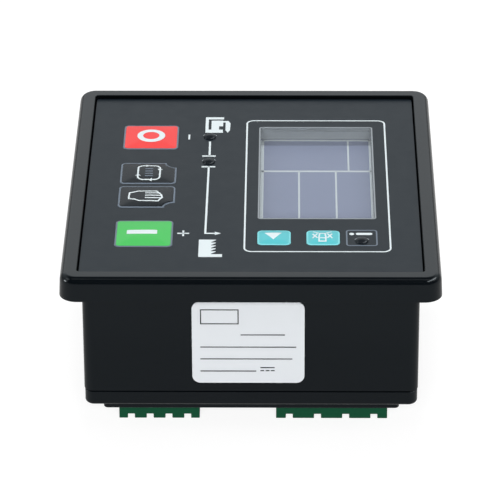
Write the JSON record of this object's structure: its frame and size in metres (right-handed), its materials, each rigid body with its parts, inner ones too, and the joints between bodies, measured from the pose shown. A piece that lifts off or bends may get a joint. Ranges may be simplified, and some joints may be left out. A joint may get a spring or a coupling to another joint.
{
  "type": "genset controller",
  "caption": "Panel-mounting genset controller: a flanged black case with keys, lamps and a display window on its face, and pluggable terminal headers at its back.",
  "frame": {"origin": "on the floor under the middle of the outline, level with the mouths of the terminal headers", "axes": "+Z out of the face, +Y along the long side of the flange, +X towards the device's own top"},
  "size_m": [0.1006, 0.116, 0.0503],
  "materials": {
    "case_black": "fine satin moulded ABS",
    "film_black": "printed polyester sheet, satin",
    "key_red": "satin printed key",
    "key_black": "satin printed key",
    "key_green": "satin printed key",
    "key_cyan": "satin printed key",
    "window_clear": "clear polished pane",
    "frame_grey": "light grey moulded frame",
    "display_blue": "display glass, switched off",
    "backlight_white": "white diffuser",
    "led_dark": "smoked clear dome",
    "switch_black": "moulded black",
    "plunger_white": "moulded ivory",
    "board_green": "solder mask on glass laminate",
    "header_green": "moulded green polyamide",
    "bright_metal": "bright plated",
    "relay_blue": "moulded blue",
    "sensor_blue": "moulded dark blue",
    "capacitor_black": "sleeved can",
    "ribbon_grey": "flat ribbon cable",
    "white_print": "white printed polyester"
  },
  "bodies": {
    "housing": {"front_case": "case_black", "rear_cover": "case_black", "face_film": "film_black", "window_pane": "window_clear", "lcd_frame": "frame_grey", "lcd_glass": "display_blue", "lcd_backlight": "backlight_white", "display_board": "board_green", "main_board": "board_green", "key_stop_switch": "switch_black", "key_auto_switch": "switch_black", "key_manual_switch": "switch_black", "key_start_switch": "switch_black", "key_page_switch": "switch_black", "key_lamp_switch": "switch_black", "led_genset": "led_dark", "led_load": "led_dark", "led_alarm": "led_dark", "header_current": "header_green", "header_voltage": "header_green", "header_outputs": "header_green", "header_inputs": "header_green", "display_screw_1": "bright_metal", "display_screw_2": "bright_metal", "display_screw_3": "bright_metal", "display_screw_4": "bright_metal", "main_screw_1": "bright_metal", "main_screw_2": "bright_metal", "main_screw_3": "bright_metal", "main_screw_4": "bright_metal", "relay_1": "relay_blue", "relay_2": "relay_blue", "current_sensor_1": "sensor_blue", "current_sensor_2": "sensor_blue", "current_sensor_3": "sensor_blue", "capacitor_1": "capacitor_black", "capacitor_2": "capacitor_black", "buzzer": "switch_black", "microcontroller": "switch_black", "main_link_socket": "switch_black", "display_link_socket": "switch_black", "link_ribbon": "ribbon_grey", "label": "white_print"},
    "key_stop": {"key_stop_cap": "key_red", "key_stop_plunger": "plunger_white"},
    "key_auto": {"key_auto_cap": "key_black", "key_auto_plunger": "plunger_white"},
    "key_manual": {"key_manual_cap": "key_black", "key_manual_plunger": "plunger_white"},
    "key_start": {"key_start_cap": "key_green", "key_start_plunger": "plunger_white"},
    "key_page": {"key_page_cap": "key_cyan", "key_page_plunger": "plunger_white"},
    "key_lamp": {"key_lamp_cap": "key_cyan", "key_lamp_plunger": "plunger_white"}
  },
  "joints": [
    {"name": "stop_press", "type": "slide", "parent": "housing", "child": "key_stop", "axis": [0, 0, -1], "range_m": [0, 0.0004], "stiffness_N_per_m": 1500, "springref_m": -0.0006},
    {"name": "auto_press", "type": "slide", "parent": "housing", "child": "key_auto", "axis": [0, 0, -1], "range_m": [0, 0.0004], "stiffness_N_per_m": 1500, "springref_m": -0.0006},
    {"name": "manual_press", "type": "slide", "parent": "housing", "child": "key_manual", "axis": [0, 0, -1], "range_m": [0, 0.0004], "stiffness_N_per_m": 1500, "springref_m": -0.0006},
    {"name": "start_press", "type": "slide", "parent": "housing", "child": "key_start", "axis": [0, 0, -1], "range_m": [0, 0.0004], "stiffness_N_per_m": 1500, "springref_m": -0.0006},
    {"name": "page_press", "type": "slide", "parent": "housing", "child": "key_page", "axis": [0, 0, -1], "range_m": [0, 0.0004], "stiffness_N_per_m": 1500, "springref_m": -0.0006},
    {"name": "lamp_press", "type": "slide", "parent": "housing", "child": "key_lamp", "axis": [0, 0, -1], "range_m": [0, 0.0004], "stiffness_N_per_m": 1500, "springref_m": -0.0006}
  ]
}
